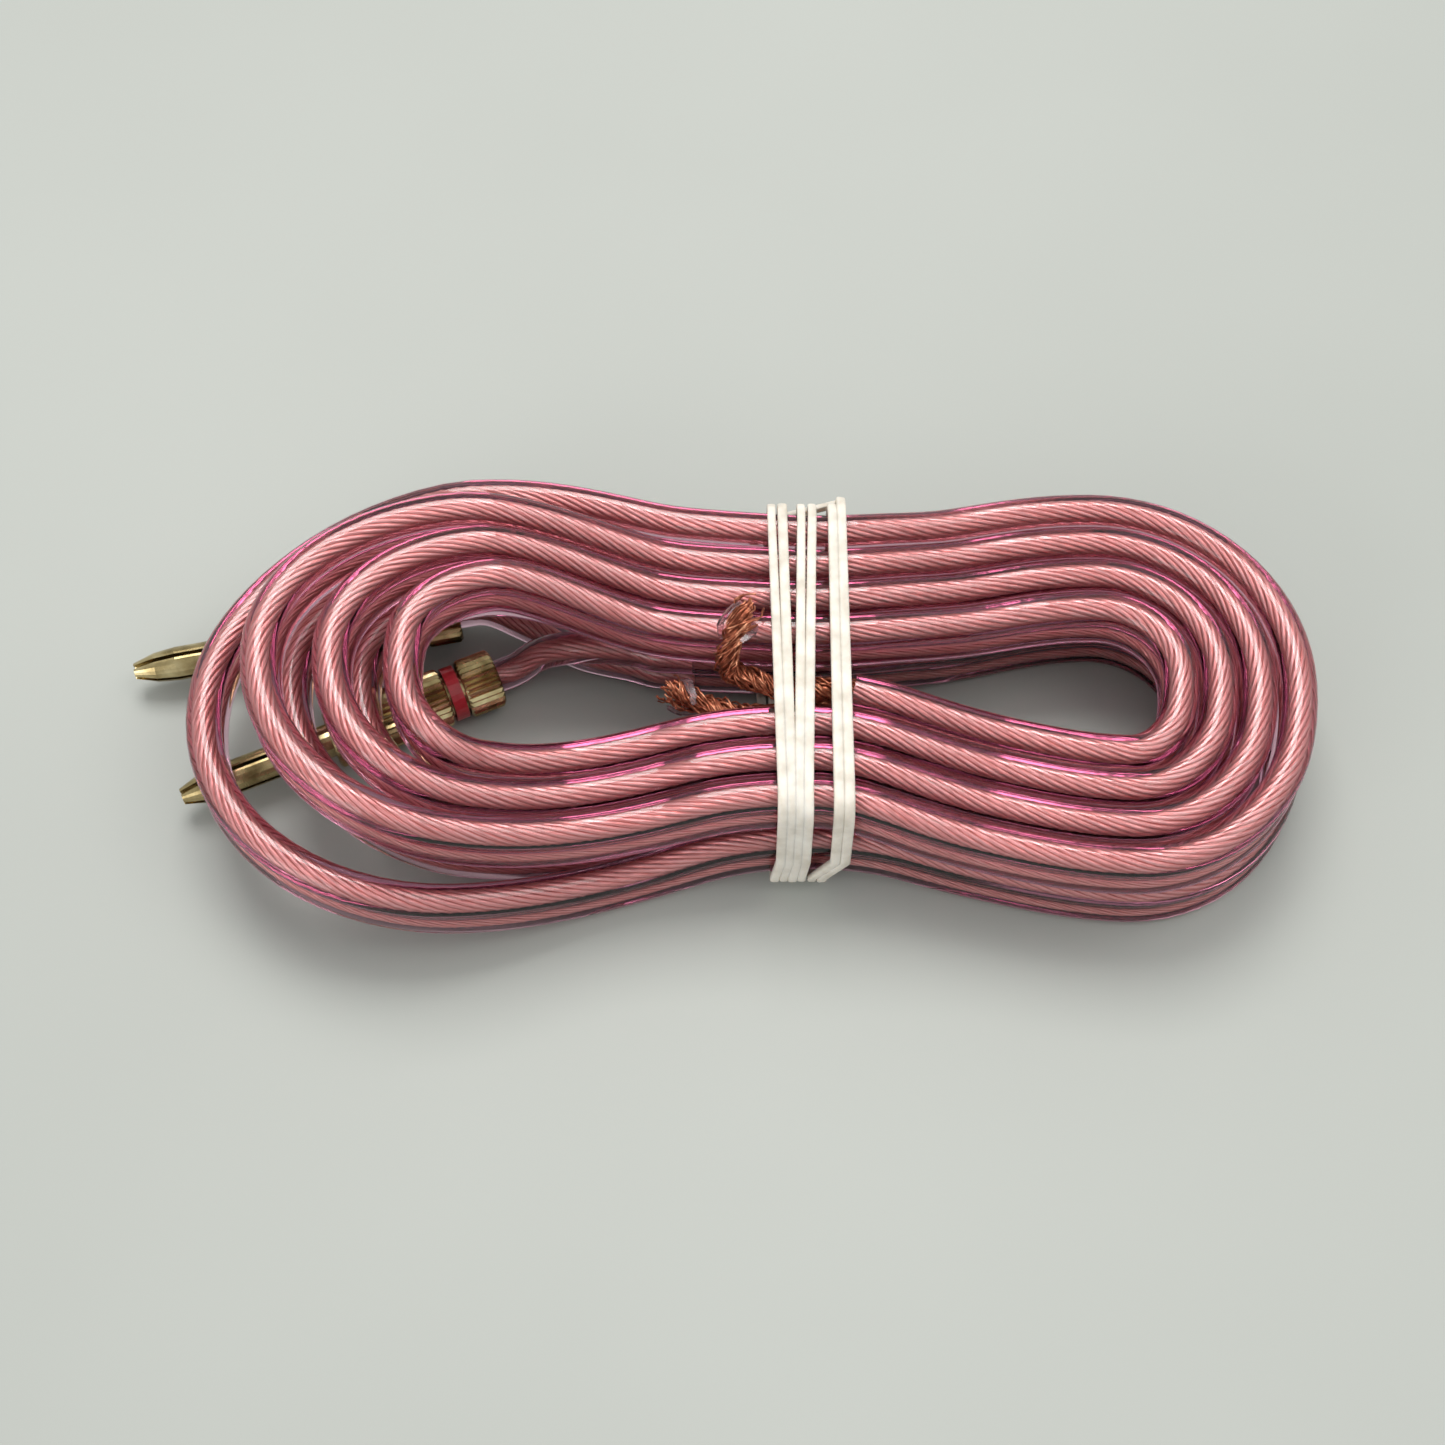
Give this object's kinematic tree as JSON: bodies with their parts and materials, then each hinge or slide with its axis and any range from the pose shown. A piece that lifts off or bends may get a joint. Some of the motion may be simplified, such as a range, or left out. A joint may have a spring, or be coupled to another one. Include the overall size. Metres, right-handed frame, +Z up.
{
  "type": "twin speaker lead",
  "caption": "Clear twin speaker lead wound in a flat hank under a rubber band, with screw-cap banana plugs at one end and bare wire at the other.",
  "frame": {"origin": "centre of the bounding box in X and Y, on the floor that the lead lies on", "axes": "+X along the hank, away from the plugs; +Y to the back of the hank; +Z up from the floor"},
  "size_m": [0.136, 0.0516, 0.0241],
  "materials": {
    "clear_jacket": "gloss",
    "copper_strands": "satin",
    "gold_plate": "satin",
    "black_ring": "gloss",
    "red_ring": "gloss",
    "cream_rubber": "matte"
  },
  "bodies": {
    "lead": {"cord_hank": "clear_jacket", "leg_black_jacket": "clear_jacket", "leg_black_core": "copper_strands", "leg_red_jacket": "clear_jacket", "leg_red_core": "copper_strands", "bare_end_front": "copper_strands", "bare_end_back": "copper_strands", "jacket_shred_front": "clear_jacket", "jacket_shred_back": "clear_jacket", "rubber_band": "cream_rubber", "plug_black_pin": "gold_plate", "plug_black_sleeve": "gold_plate", "plug_black_ring": "black_ring", "plug_red_pin": "gold_plate", "plug_red_sleeve": "gold_plate", "plug_red_ring": "red_ring"},
    "clamp_black": {"plug_black_collet": "gold_plate"},
    "cap_black": {"plug_black_cap": "gold_plate"},
    "clamp_red": {"plug_red_collet": "gold_plate"},
    "cap_red": {"plug_red_cap": "gold_plate"}
  },
  "joints": [
    {"name": "black_clamp_slide", "type": "slide", "parent": "lead", "child": "clamp_black", "axis": [0.9781, 0.2079, 0], "range_m": [0, 0.0016]},
    {"name": "black_cap_screw", "type": "hinge", "parent": "clamp_black", "child": "cap_black", "pos_m": [-0.03422, 0.01533, 0.0035], "axis": [0.9781, 0.2079, 0], "range_deg": [0, 720]},
    {"name": "red_clamp_slide", "type": "slide", "parent": "lead", "child": "clamp_red", "axis": [0.9143, 0.4051, 0], "range_m": [0, 0.0016]},
    {"name": "red_cap_screw", "type": "hinge", "parent": "clamp_red", "child": "cap_red", "pos_m": [-0.02901, 0.0057, 0.0035], "axis": [0.9143, 0.4051, 0], "range_deg": [0, 720]}
  ],
  "couplings": [
    {"joint": "black_cap_screw", "follows": "black_clamp_slide", "rad_per_m": 7853},
    {"joint": "red_cap_screw", "follows": "red_clamp_slide", "rad_per_m": 7853}
  ]
}
